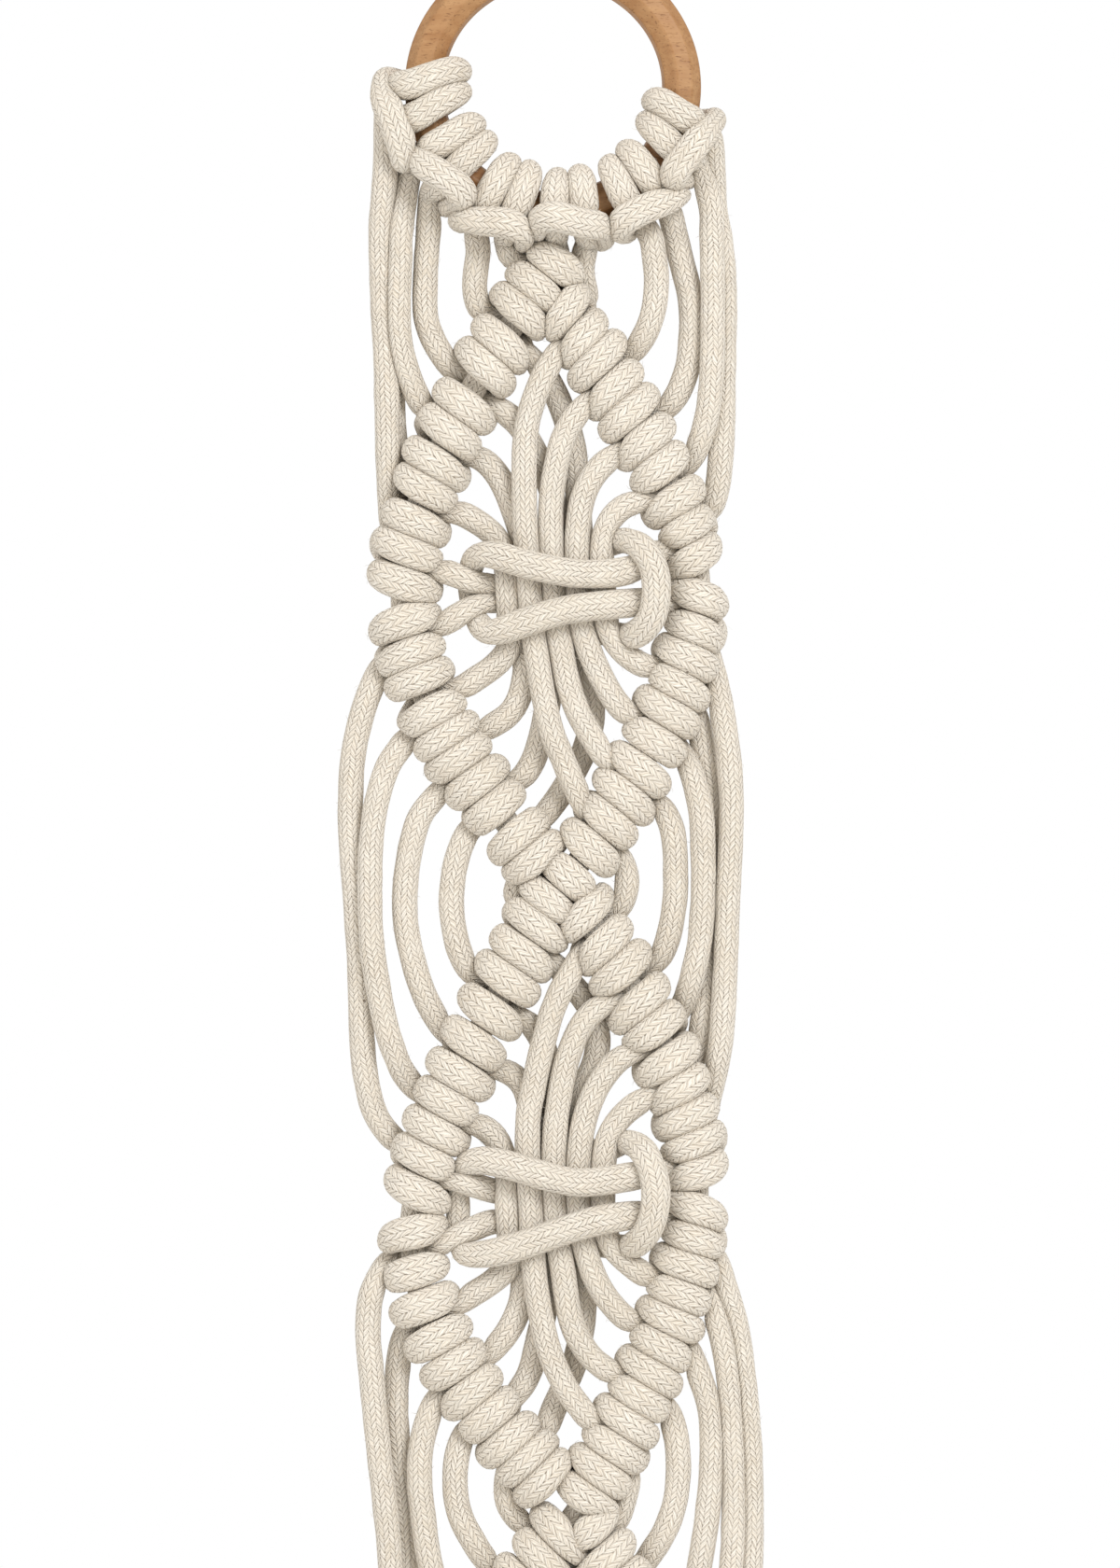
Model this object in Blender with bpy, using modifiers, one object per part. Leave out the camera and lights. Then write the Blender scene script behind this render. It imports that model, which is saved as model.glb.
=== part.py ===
"""Macrame plant hanger: a wooden ring, a net of cotton rope tied on it, and a pot cradle with a tassel.

Metres, +Z up, the front faces -Y. The origin is the point of the ring that sits on its hook, so the
whole object hangs below it. Tables are in millimetres.
"""

from collections import namedtuple
import math

import bmesh
import bpy
from mathutils import Matrix, Vector

# ---------------------------------------------------------------- driving sizes, in metres
MM = 0.001
ROPE_END_GAP = 0.0009       # clearance at the ends of rope solids, whose caps are a little uneven
ROPE = 0.006                # rope diameter
RING_RADIUS = 0.0308        # to the middle of the ring's bar
RING_BAR = 0.0093           # thickness of the ring's bar
RING_CENTRE = Vector((-0.0008, 0.0, -0.0267))
RING_LOW = 0.002            # the ring is a little oval: lower by this in half its height
# The point inside the top of the ring that rests on its hook, before the whole is moved there.
RING_INSIDE = (RING_RADIUS - RING_BAR / 2) * (1.0 - RING_LOW / RING_RADIUS)
HOOK_POINT = RING_CENTRE + Vector((0.0, 0.0, RING_INSIDE - RING_LOW))
ROW_RADIUS = 0.0086         # a row of double half hitches, three ropes thick
ROW_FIRST = 0.0033          # the same row where it starts on its bare rope
ROPE_SIDES = 1              # bevel resolution: six sides
ROW_SIDES = 2               # bevel resolution: eight sides
ROW_STATIONS = 7            # sections along half a diamond's side
VOXEL = 0.0011              # grain of the solids made from several rope runs
CLEARANCE = 0.00016         # each joined solid is drawn in by this, so that neighbours stay apart
NET_SHARE = 0.0175          # share of the grain's faces that each joined solid keeps
HEAD_SHARE = 0.052
ARM_SHARE = 0.018
KNOT_SHARE = 0.029
TASSEL_SHARE = 0.012

# ---------------------------------------------------------------- tables, in millimetres
# A side of a diamond runs from its top on the middle line, out to its corner, and back to its bottom.
Side = namedtuple("Side", "top corner_x corner_z bottom")
Diamond = namedtuple("Diamond", "left right knot_z")
DIAMONDS = [
    Diamond(Side(-71.0, -36.7, -151.7, -219.9), Side(-79.7, 35.6, -147.2, -222.8), -150.3),
    Diamond(Side(-222.1, -34.2, -299.2, -370.1), Side(-218.3, 33.5, -293.6, -373.0), -297.0),
    Diamond(Side(-372.4, -34.5, -447.5, -520.0), Side(-368.6, 34.0, -444.0, -523.0), -446.5),
]

# Six ropes hang on the ring: the angle of each knot from straight down, and its two legs, which
# leave the knot at drop_z as rope ends 1 to 12.
Head = namedtuple("Head", "angle left_x left_y right_x right_y drop_z")
HEADS = [
    Head(-82.0, -42.6, -1.5, -39.6, 5.6, -49.0),
    Head(-50.5, -37.6, -2.0, -31.0, 1.5, -64.0),
    Head(-22.5, -19.0, 1.0, -11.4, 1.0, -68.4),
    Head(6.4, 0.6, 1.5, 6.8, 1.0, -68.6),
    Head(37.9, 23.6, -1.0, 29.5, 3.5, -66.0),
    Head(66.5, 37.2, -1.5, 40.6, 3.5, -58.5),
]

# The lark's head about the ring's bar: out from the bar's middle, forward of it, and along the ring.
Turn = namedtuple("Turn", "out front along")
HEAD_TURN = [
    Turn(8.6, -0.6, 3.2),
    Turn(7.0, 5.2, 3.5),
    Turn(2.8, 8.0, 3.7),
    Turn(-2.8, 8.0, 3.4),
    Turn(-7.0, 4.6, 3.0),
    Turn(-8.1, 0.0, 2.9),
    Turn(-7.0, -4.6, 3.0),
    Turn(-2.8, -8.0, 3.4),
    Turn(2.8, -8.0, 3.9),
]
HEAD_BAR = [
    Turn(-1.5, -7.9, 3.6),
    Turn(3.5, -8.0, 4.0),
    Turn(7.7, -6.0, 4.4),
    Turn(9.1, -0.5, 4.5),
    Turn(9.3, 4.8, 4.0),
    Turn(8.4, 7.4, 2.4),
]

# Filler ropes: where each lies in the square knot, and the pair of wraps it leaves and enters.
# Pair 1 is next to the middle line on an upper row, and next to the corner on a lower row.
Filler = namedtuple("Filler", "rope upper x y lower")
FILLERS = [
    Filler(2, 4, -13.2, -1.5, 2),
    Filler(3, 3, -10.0, 2.6, 3),
    Filler(4, 2, 1.2, 4.0, 4),
    Filler(5, 1, 7.2, 4.0, 5),
    Filler(8, 1, -6.6, -2.0, 5),
    Filler(9, 2, -1.0, -2.0, 4),
    Filler(10, 3, 4.7, -2.0, 3),
    Filler(11, 4, 10.3, -1.5, 2),
]
KNOT_HALF_HEIGHT = 9.0      # from the square knot's middle to where its fillers spread

# Ropes between the lower row of one diamond and the upper row of the next: how far out each bows.
Bow = namedtuple("Bow", "rope bow y")
BOWS = [
    Bow(1, 48.5, 1.0),
    Bow(2, 44.0, -2.0),
    Bow(3, 36.0, 0.0),
    Bow(4, 25.5, 0.0),
    Bow(5, 13.0, 2.0),
    Bow(12, 42.0, 2.0),
    Bow(11, 38.5, -2.0),
    Bow(10, 34.0, 2.0),
    Bow(9, 27.5, 0.0),
    Bow(8, 16.0, 0.0),
]

# The cradle: three arms of four ropes each, which split into pairs and meet the next arm's pair.
Arm = namedtuple("Arm", "name azimuth ropes")
ARMS = [
    Arm("left", 150.0, (4, 3, 2, 1)),
    Arm("front", 270.0, (5, 6, 7, 8)),
    Arm("right", 30.0, (12, 11, 10, 9)),
]
ARM_KNOT = (0.024, -0.592)          # distance from the middle line, and height
BELLY = (0.047, -0.668)
BASKET_KNOT = (0.041, -0.736)
NECK = (0.0125, -0.792)
KNOT_HALF = 0.0130                  # half the height of a square knot on four ropes
ROPE_PITCH = 0.0058                 # ropes side by side in an arm
# A square knot on four ropes: the outer two cross in front of and behind the inner two.
Cross = namedtuple("Cross", "across out up")
FRONT_ROPE = [
    Cross(8.7, 0.0, 12.0),
    Cross(11.5, 2.5, 8.5),
    Cross(6.0, 5.8, 5.4),
    Cross(-6.0, 6.0, 5.2),
    Cross(-12.3, 1.5, 0.0),
    Cross(-6.0, 6.0, -5.2),
    Cross(6.0, 5.8, -5.4),
    Cross(11.5, 2.5, -8.5),
    Cross(8.7, 0.0, -12.0),
]
BACK_ROPE = [
    Cross(-8.7, 0.0, 12.0),
    Cross(-8.0, -3.5, 8.0),
    Cross(5.0, -6.0, 5.0),
    Cross(12.6, 0.0, 4.2),
    Cross(13.0, 6.0, 0.0),
    Cross(12.6, 0.0, -4.2),
    Cross(5.0, -6.0, -5.0),
    Cross(-8.0, -3.5, -8.0),
    Cross(-8.7, 0.0, -12.0),
]
WRAP_TOP = -0.800
WRAP_BOTTOM = -0.836
WRAP_RADIUS = 0.0158
TASSEL_BOTTOM = -0.985
# Rings of rope ends in the tassel: how many, their distance from the middle at the wrap and at
# the ends, and how far the ring is turned, as a share of one rope's place.
TASSEL_RINGS = [(9, 0.0086, 0.0155, 0.0), (3, 0.0031, 0.0062, 0.3)]

LEFT, RIGHT = -1, 1
COTTON = ((0.80, 0.72, 0.60, 1.0), 0.95)
BEECH = ((0.62, 0.36, 0.17, 1.0), 0.5)


# ---------------------------------------------------------------- helpers
def new_collection(name):
    collection = bpy.data.collections.new(name)
    bpy.context.scene.collection.children.link(collection)
    return collection


def material(name, finish):
    colour, roughness = finish
    made = bpy.data.materials.new(name)
    made.use_nodes = True
    shader = made.node_tree.nodes["Principled BSDF"]
    shader.inputs["Base Color"].default_value = colour
    shader.inputs["Roughness"].default_value = roughness
    shader.inputs["Metallic"].default_value = 0.0
    return made


def smooth_line(points, count):
    """A Catmull-Rom curve through the points, read at evenly spaced stations."""
    ends = [2 * points[0] - points[1], *points, 2 * points[-1] - points[-2]]
    dense = []
    for a, b, c, d in zip(ends, ends[1:], ends[2:], ends[3:]):
        for step in range(12):
            t = step / 12
            dense.append(
                0.5 * (2 * b + (c - a) * t + (2 * a - 5 * b + 4 * c - d) * t * t
                       + (3 * b - a - 3 * c + d) * t ** 3)
            )
    dense.append(points[-1])
    return evenly(dense, count)


def evenly(line, count):
    """The line's points read again at equal distances along it."""
    reach = [0.0]
    for a, b in zip(line, line[1:]):
        reach.append(reach[-1] + (b - a).length)
    stations, k = [], 0
    for i in range(count):
        want = reach[-1] * i / (count - 1)
        while k < len(line) - 2 and reach[k + 1] < want:
            k += 1
        share = (want - reach[k]) / max(reach[k + 1] - reach[k], 1e-9)
        stations.append(line[k].lerp(line[k + 1], min(share, 1.0)))
    return stations


def tube(name, line, radii, resolution, collection):
    """A closed tube along the line, as a mesh whose caps are welded on."""
    curve = bpy.data.curves.new(name, "CURVE")
    curve.dimensions = "3D"
    curve.fill_mode = "FULL"
    curve.use_fill_caps = True
    curve.bevel_depth = 1.0
    curve.bevel_resolution = resolution
    spline = curve.splines.new("POLY")
    spline.points.add(len(line) - 1)
    for point, place, radius in zip(spline.points, line, radii):
        point.co = (*place, 1.0)
        point.radius = radius
    drawn = bpy.data.objects.new(name, curve)
    collection.objects.link(drawn)
    mesh = bpy.data.meshes.new_from_object(drawn.evaluated_get(bpy.context.evaluated_depsgraph_get()))
    bpy.data.objects.remove(drawn)
    bpy.data.curves.remove(curve)
    shell = bmesh.new()
    shell.from_mesh(mesh)
    bmesh.ops.remove_doubles(shell, verts=shell.verts, dist=0.00001)
    shell.to_mesh(mesh)
    shell.free()
    mesh.name = name
    made = bpy.data.objects.new(name, mesh)
    collection.objects.link(made)
    return made


def rope(name, line, collection):
    return tube(name, line, [ROPE / 2] * len(line), ROPE_SIDES, collection)


def joined(name, tubes, share, home):
    """One solid from tubes that run into each other: remeshed as a whole, then lightened."""
    shell = bmesh.new()
    for piece in tubes:
        shell.from_mesh(piece.data)
        bpy.data.objects.remove(piece)
    mesh = bpy.data.meshes.new(name)
    shell.to_mesh(mesh)
    shell.free()
    made = bpy.data.objects.new(name, mesh)
    home.objects.link(made)
    remesh = made.modifiers.new("Union", "REMESH")
    remesh.mode = "VOXEL"
    remesh.voxel_size = VOXEL
    lighten = made.modifiers.new("Lighten", "DECIMATE")
    lighten.ratio = share
    drawn_in = made.modifiers.new("DrawnIn", "DISPLACE")
    drawn_in.mid_level = 0.0
    drawn_in.strength = -CLEARANCE
    finished(made, COTTON)
    return made


def finished(piece, finish):
    piece.data.materials.clear()
    piece.data.materials.append(material(piece.name, finish))
    piece.data.shade_smooth()
    piece.data.set_sharp_from_angle(angle=math.radians(50))


# ---------------------------------------------------------------- the diamonds' geometry
def side_x(side, z):
    """Distance of a diamond's side from the middle line at height z, all in millimetres."""
    if z > side.corner_z:
        share = (side.top - z) / (side.top - side.corner_z)
    else:
        share = (z - side.bottom) / (side.corner_z - side.bottom)
    return side.corner_x * math.sin(math.pi / 2 * min(max(share, 0.0), 1.0))


def quarter(side, upper, count):
    """Half of a diamond's side, its upper or lower row, as evenly spaced points."""
    z_from, z_to = (side.top, side.corner_z) if upper else (side.corner_z, side.bottom)
    heights = [z_from + (z_to - z_from) * i / 40 for i in range(41)]
    return evenly([Vector((side_x(side, z), 0.0, z)) * MM for z in heights], count)


def pair_place(side, upper, pair, pairs=5):
    """Middle of one double half hitch on a row."""
    line = quarter(side, upper, 2 * pairs + 1)
    return line[2 * pair - 1]


def side_of(diamond, rope_number):
    return diamond.left if rope_number < 7 else diamond.right


def row_pair(rope_number, upper):
    """Which pair of wraps a rope end makes on an upper or a lower row."""
    inner = rope_number < 7
    nearest = 6 - rope_number if inner else rope_number - 7
    return nearest if upper else 6 - nearest


# ---------------------------------------------------------------- pieces
def make_ring(home):
    bpy.ops.mesh.primitive_torus_add(
        major_radius=RING_RADIUS,
        minor_radius=RING_BAR / 2,
        major_segments=36,
        minor_segments=8,
        location=RING_CENTRE - Vector((0.0, 0.0, RING_LOW)),
        rotation=(math.pi / 2, 0.0, 0.0),
    )
    ring = bpy.context.object
    for collection in ring.users_collection:
        collection.objects.unlink(ring)
    home.objects.link(ring)
    ring.data.transform(Matrix.Diagonal((1.0, 1.0 - RING_LOW / RING_RADIUS, 1.0, 1.0)))
    ring.name = "ring"
    ring.data.name = "ring"
    finished(ring, BEECH)


def on_ring(head, turn, side):
    """A lark's head point, from its place about the ring's bar."""
    angle = math.radians(head.angle) + side * turn.along * MM / RING_RADIUS
    reach = RING_RADIUS + turn.out * MM
    return RING_CENTRE + Vector((math.sin(angle) * reach, -turn.front * MM, -math.cos(angle) * reach))


def make_heads(home, parts):
    for number, head in enumerate(HEADS, 1):
        tubes = []
        for side, x, y in ((LEFT, head.left_x, head.left_y), (RIGHT, head.right_x, head.right_y)):
            turns = [on_ring(head, turn, side) for turn in HEAD_TURN]
            foot = Vector((x, y, head.drop_z)) * MM + Vector((0.0, 0.0, ROPE_END_GAP))
            above = foot + Vector((0.0, 0.0, 0.002))
            tubes.append(rope(f"turn_{number}", smooth_line([foot, above, *turns], 11), parts))
        left = [on_ring(head, turn, LEFT) for turn in HEAD_BAR]
        right = [on_ring(head, turn, RIGHT) for turn in reversed(HEAD_BAR)]
        tubes.append(rope(f"bar_{number}", smooth_line(left + right, 10), parts))
        joined(f"larks_head_{number}", tubes, HEAD_SHARE, home)


def row_tubes(diamond, parts):
    tubes = []
    for side in (diamond.left, diamond.right):
        line = quarter(side, True, ROW_STATIONS) + quarter(side, False, ROW_STATIONS)[1:]
        radii = [ROW_RADIUS] * len(line)
        radii[0] = radii[-1] = ROW_FIRST
        tubes.append(tube("row", line, radii, ROW_SIDES, parts))
    return tubes


def filler_tubes(diamond, parts):
    tubes = []
    for filler in FILLERS:
        side = side_of(diamond, filler.rope)
        start = pair_place(side, True, filler.upper)
        end = pair_place(side, False, filler.lower)
        above = Vector((filler.x, filler.y, diamond.knot_z + KNOT_HALF_HEIGHT)) * MM
        below = Vector((filler.x, filler.y, diamond.knot_z - KNOT_HALF_HEIGHT)) * MM
        tubes.append(rope("filler", smooth_line([start, above, below, end], 7), parts))
    return tubes


def knot_tubes(diamond, parts):
    """The square knot's two ropes: the front one makes both bars, the back one passes behind."""
    z = diamond.knot_z
    bars = [(30, 2, z + 3), (21, -6.5, z + 6.5), (0, -7.5, z + 6.2), (-17, -6, z + 8),
            (-22, -1, z), (-17, -6, z - 9), (0, -7.5, z - 5.5), (20, -6.5, z - 0.5), (30, 2, z - 6)]
    ties = [(-31, 1, z + 7), (-20, 1, z + 11), (0, 9, z + 9), (17, 6, z + 12), (25, -5, z + 10),
            (27.5, -8, z + 2.5), (25, -5, z - 9), (17, 6, z - 10), (0, 9, z - 8), (-20, 1, z - 6),
            (-31, 1, z - 11)]
    return [
        rope("knot", smooth_line([Vector(p) * MM for p in route], count), parts)
        for route, count in ((bars, 12), (ties, 15))
    ]


def bow_tubes(upper, lower, parts):
    """The ropes that hang free at both sides from one diamond to the next."""
    tubes = []
    for bow in BOWS:
        side, below = side_of(upper, bow.rope), side_of(lower, bow.rope)
        start = pair_place(side, False, row_pair(bow.rope, False))
        end = pair_place(below, True, row_pair(bow.rope, True))
        middle = start.lerp(end, 0.5)
        middle.x = math.copysign(bow.bow * MM, side.corner_x)
        middle.y = bow.y * MM
        tubes.append(rope("bow", smooth_line([start, middle, end], 6), parts))
    return tubes


def leg_tubes(diamond, parts):
    """The rope ends between their lark's heads and the first diamond."""
    tubes = []
    for number, head in enumerate(HEADS):
        for leg, (x, y) in enumerate(((head.left_x, head.left_y), (head.right_x, head.right_y))):
            rope_number = 2 * number + leg + 1
            foot = Vector((x, y, head.drop_z)) * MM - Vector((0.0, 0.0, ROPE_END_GAP))
            if rope_number in (6, 7):
                end = quarter(diamond.left, True, 2 * ROW_STATIONS)[1]
            else:
                pair = row_pair(rope_number, True)
                end = pair_place(side_of(diamond, rope_number), True, pair)
            under = foot + Vector((0.0, 0.0, min(-0.002, 0.45 * (end.z - foot.z))))
            tubes.append(rope("leg", smooth_line([foot, under, end], 4), parts))
    return tubes


def around(azimuth, place, across=0.0):
    """A point at an azimuth, at a place (distance, height), moved sideways by across."""
    angle = math.radians(azimuth)
    distance, height = place
    out = Vector((math.cos(angle), math.sin(angle), 0.0))
    side = Vector((-math.sin(angle), math.cos(angle), 0.0))
    return out * distance + side * across + Vector((0.0, 0.0, height))


def arm_offset(k):
    """How far the arm's rope number k, 0 to 3, lies to the side of the arm's middle."""
    return (k - 1.5) * ROPE_PITCH


def arm_tubes(diamond, parts):
    """The rope ends from the last diamond into the knots at the tops of the arms."""
    top = KNOT_HALF + ROPE_END_GAP
    tubes = []
    for arm in ARMS:
        for k, rope_number in enumerate(arm.ropes):
            side = side_of(diamond, rope_number)
            if rope_number in (6, 7):
                start = quarter(side, False, ROW_STATIONS)[-2]
            else:
                start = pair_place(side, False, row_pair(rope_number, False))
            end = around(arm.azimuth, ARM_KNOT, arm_offset(k)) + Vector((0.0, 0.0, top))
            above = end + Vector((0.0, 0.0, 0.006))
            middle = start.lerp(end, 0.45)
            middle.x *= 1.0 + 0.25 * (abs(start.x) / 0.034)
            tubes.append(rope("arm", smooth_line([start, middle, above, end], 7), parts))
    return tubes


def make_net(home, parts):
    tubes = leg_tubes(DIAMONDS[0], parts)
    for diamond in DIAMONDS:
        tubes += row_tubes(diamond, parts) + filler_tubes(diamond, parts) + knot_tubes(diamond, parts)
    for upper, lower in zip(DIAMONDS, DIAMONDS[1:]):
        tubes += bow_tubes(upper, lower, parts)
    tubes += arm_tubes(DIAMONDS[-1], parts)
    joined("net", tubes, NET_SHARE, home)


def make_square_knot(name, azimuth, place, home, parts):
    distance, height = place
    routes = [
        [(cross.across, cross.out, cross.up) for cross in FRONT_ROPE],
        [(cross.across, cross.out, cross.up) for cross in BACK_ROPE],
    ]
    for k in (1, 2):
        across = arm_offset(k) / MM
        routes.append([(across, 0.0, FRONT_ROPE[0].up), (across, 0.0, FRONT_ROPE[-1].up)])
    ropes = []
    for route in routes:
        line = [
            around(azimuth, (distance + out * MM, height + up * MM), across * MM)
            for across, out, up in route
        ]
        ropes.append(rope("knot", smooth_line(line, 14), parts))
    joined(name, ropes, KNOT_SHARE, home)


def make_cradle(home, parts):
    half = KNOT_HALF + ROPE_END_GAP
    reach = 60.0            # from an arm's azimuth to the basket knots on both sides of it
    for arm in ARMS:
        make_square_knot(f"arm_knot_{arm.name}", arm.azimuth, ARM_KNOT, home, parts)
        ropes = []
        for k in range(4):
            sign = -1 if k < 2 else 1
            start = around(arm.azimuth, ARM_KNOT, arm_offset(k)) - Vector((0.0, 0.0, half))
            belly = around(arm.azimuth, BELLY, 1.15 * arm_offset(k))
            spot = arm_offset(k) - sign * 2 * ROPE_PITCH
            end = around(arm.azimuth + sign * reach, BASKET_KNOT, spot) + Vector((0.0, 0.0, half))
            below = start - Vector((0.0, 0.0, 0.006))
            above = end + Vector((0.0, 0.0, 0.006))
            ropes.append(rope("arm", smooth_line([start, below, belly, above, end], 10), parts))
        joined(f"arm_{arm.name}", ropes, ARM_SHARE, home)
        azimuth = arm.azimuth + reach
        make_square_knot(f"basket_knot_{arm.name}", azimuth, BASKET_KNOT, home, parts)
        ropes = []
        for k in range(4):
            start = around(azimuth, BASKET_KNOT, arm_offset(k)) - Vector((0.0, 0.0, half))
            below = start - Vector((0.0, 0.0, 0.006))
            neck = around(azimuth, NECK, 0.9 * arm_offset(k))
            end = neck.copy()
            end.z = WRAP_TOP + ROPE_END_GAP
            ropes.append(rope("gather", smooth_line([start, below, neck, end], 7), parts))
        joined(f"gather_{arm.name}", ropes, ARM_SHARE, home)


def make_tassel(home, parts):
    height = WRAP_TOP - WRAP_BOTTOM
    places = [(0.0, 0.75), (0.1, 1.0), (0.9, 1.0), (1.0, 0.75)]
    line = [Vector((0.0, 0.0, WRAP_TOP - height * share)) for share, _ in places]
    radii = [WRAP_RADIUS * width for _, width in places]
    wrap = tube("gathering_wrap", line, radii, 4, home)
    finished(wrap, COTTON)
    ropes = []
    for count, top_radius, bottom_radius, turn in TASSEL_RINGS:
        for k in range(count):
            azimuth = 360.0 * (k + turn) / count
            top = around(azimuth, (top_radius, WRAP_BOTTOM - ROPE_END_GAP))
            middle = around(azimuth, ((top_radius + 2 * bottom_radius) / 3, 0.6 * WRAP_BOTTOM
                                      + 0.4 * TASSEL_BOTTOM))
            bottom = around(azimuth, (bottom_radius, TASSEL_BOTTOM))
            ropes.append(rope("end", smooth_line([top, middle, bottom], 5), parts))
    joined("tassel", ropes, TASSEL_SHARE, home)


def main():
    for old in list(bpy.data.objects):
        bpy.data.objects.remove(old)
    home = new_collection("macrame_plant_hanger")
    parts = new_collection("rope_runs")
    make_ring(home)
    make_heads(home, parts)
    make_net(home, parts)
    make_cradle(home, parts)
    make_tassel(home, parts)
    for piece in home.objects:
        piece.location -= HOOK_POINT


main()
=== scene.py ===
"""Looks of the macrame plant hanger: braided cotton ropes knotted on a wooden ring.

The rope routes are worked out in millimetres, in the frame of the CAD model: +Z up, the front faces
-Y. HOOK moves them so that the origin is the point of the ring that sits on its hook. Meshes are
built in metres.
"""

from collections import namedtuple
from functools import partialmethod
import math
import random

import bpy
import numpy as np
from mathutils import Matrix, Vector
from mathutils.kdtree import KDTree


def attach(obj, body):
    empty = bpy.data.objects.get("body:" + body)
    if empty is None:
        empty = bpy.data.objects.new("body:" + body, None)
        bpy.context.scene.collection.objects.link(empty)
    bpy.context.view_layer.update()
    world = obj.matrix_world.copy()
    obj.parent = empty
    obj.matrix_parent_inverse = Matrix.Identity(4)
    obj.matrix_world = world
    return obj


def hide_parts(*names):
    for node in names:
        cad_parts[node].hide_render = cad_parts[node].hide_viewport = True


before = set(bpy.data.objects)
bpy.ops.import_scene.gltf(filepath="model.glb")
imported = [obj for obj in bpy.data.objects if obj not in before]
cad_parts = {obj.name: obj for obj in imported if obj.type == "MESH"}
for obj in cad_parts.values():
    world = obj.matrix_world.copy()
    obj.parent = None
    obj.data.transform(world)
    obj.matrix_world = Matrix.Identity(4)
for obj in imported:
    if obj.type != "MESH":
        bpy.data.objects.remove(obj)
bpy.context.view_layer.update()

# ---- sizes, in millimetres
M = 0.001               # one millimetre in metres
STEP, SIDES = 1.4, 18   # distance between the rings of a rope's mesh, and points in a ring
RADIUS, UNEVEN = 3.05, 0.16  # of a free rope, and how much that varies
THINNEST = 1.5          # least radius where its neighbours press a rope
PRESS_FREE, PRESS_KNOT = 7.0, 8.8  # how near a run presses a free rope, and one in a knot
PRESS_RING = 10.5       # how near the middle of the ring's bar presses a rope
OWN_RUN = 1.2           # a run nearer than this is the rope itself
OWN_LENGTH = 9.5        # and so is one less than this away along the rope
WIDEN = 0.45            # how much wider than thick a rope may be pressed
END_TAPER = 0.86        # radius of a cut end, as a share of the rope's
FIBRES = 0.32           # stray fibres on a millimetre of rope
WRAP_REACH = 6.0        # from a holder rope's middle to that of a rope wound on it
SIDE_REACH = 6.4        # the same where the wound rope comes in and leaves
CROSS_REACH = 8.3       # the same on both sides of its crossing behind
BACK_REACH = 10.6       # the same at that crossing
RING_RADIUS, RING_BAR = 30.8, 9.3  # to the middle of the ring's bar, and the bar's thickness
RING_X, RING_Z = -0.8, -28.2  # middle of the circle that the lark's heads follow
RING_LOW = 1.3          # the ring is a little oval: lower by this in half its height
RING_STATIONS, RING_SIDES = 180, 56
FLATS, FLATNESS = 8, 0.92  # flats round the ring's bar, soft because 1 would be sharp edges
FLAT_REACH = 0.955      # from the bar's middle to a flat, as a share of half the bar
FLAT_TURN = math.radians(32.0)
HOOK = np.array([0.8, 0.0, 4.25])  # brings the point that rests on the hook to the origin

# ---- camera and floor, in metres
CAMERA = (0.0017, -2.2, -0.19215)
SENSOR = 36.0           # width of the camera's sensor, in millimetres
FRAME_WIDTH = 0.3756    # what the camera sees across, at the object
FLOOR_RADIUS, FLOOR_Z = 3.2, -1.06

# ---- the net, in millimetres
# A side of a diamond: top and bottom as (x, height), its corner between them, and how far each
# half lies inside its usual curve.
Side = namedtuple("Side", "top corner bottom sags")
EDGES = {
    (1, "left"): Side((0, -71), (-36.7, -151.7), (0, -219.9), (0.8, 0)),
    (1, "right"): Side((0, -79.7), (34, -147.2), (0, -222.8), (3.4, 0)),
    (2, "left"): Side((0, -222.1), (-34.2, -299.2), (4, -370.1), (3.4, -2.2)),
    (2, "right"): Side((0, -218.3), (33.5, -293.6), (4, -373), (0, 0.6)),
    (3, "left"): Side((4, -372.4), (-34.5, -447.5), (0, -520), (1, 0)),
    (3, "right"): Side((4, -368.6), (34, -444), (0, -523), (1, 0)),
}
KNOT_Z = (-150.3, -297, -446.5)  # heights of the square knots in the diamonds

# Heights of the single wraps down each row, two for each rope end.
WRAPS = {
    (1, "left", "upper"): (-71.5, -78, -83, -91, -96.5, -106, -112, -120, -125.5, -134, -140.5, -148.5),
    (1, "left", "lower"): (-157.5, -165.5, -171, -179.5, -185, -190, -196, -202, -209, -214),
    (1, "right", "upper"): (-83, -90, -95, -102, -107.5, -114.5, -121, -129, -135.5, -142.5),
    (1, "right", "lower"): (-151.5, -159.5, -166, -173, -179, -186, -193, -199, -205, -211.5, -218.5, -225),
    (2, "left", "upper"): (-230, -237, -243, -251, -258.5, -266, -272.5, -279.5, -286, -294),
    (2, "left", "lower"): (-303.5, -313, -321, -329, -335.5, -342, -347.5, -353.5, -358, -362.5),
    (2, "right", "upper"): (-227.5, -235, -241, -249, -255, -263, -269.5, -276.5, -282.5, -289.5),
    (2, "right", "lower"): (-298, -305, -311.5, -318.5, -324.5, -331, -337, -343, -349, -355, -361, -367),
    (3, "left", "upper"): (-376, -382, -388, -395, -401, -409, -415.5, -423.5, -430.5, -439),
    (3, "left", "lower"): (-451, -460, -467, -475, -481.5, -489, -495, -502, -507.5, -514),
    (3, "right", "upper"): (-375, -382, -388, -396, -402, -409.5, -416, -424, -431, -438.5),
    (3, "right", "lower"): (-447, -455.5, -462.5, -471, -477.5, -485.5, -492, -499.5, -506, -513),
}

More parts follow.
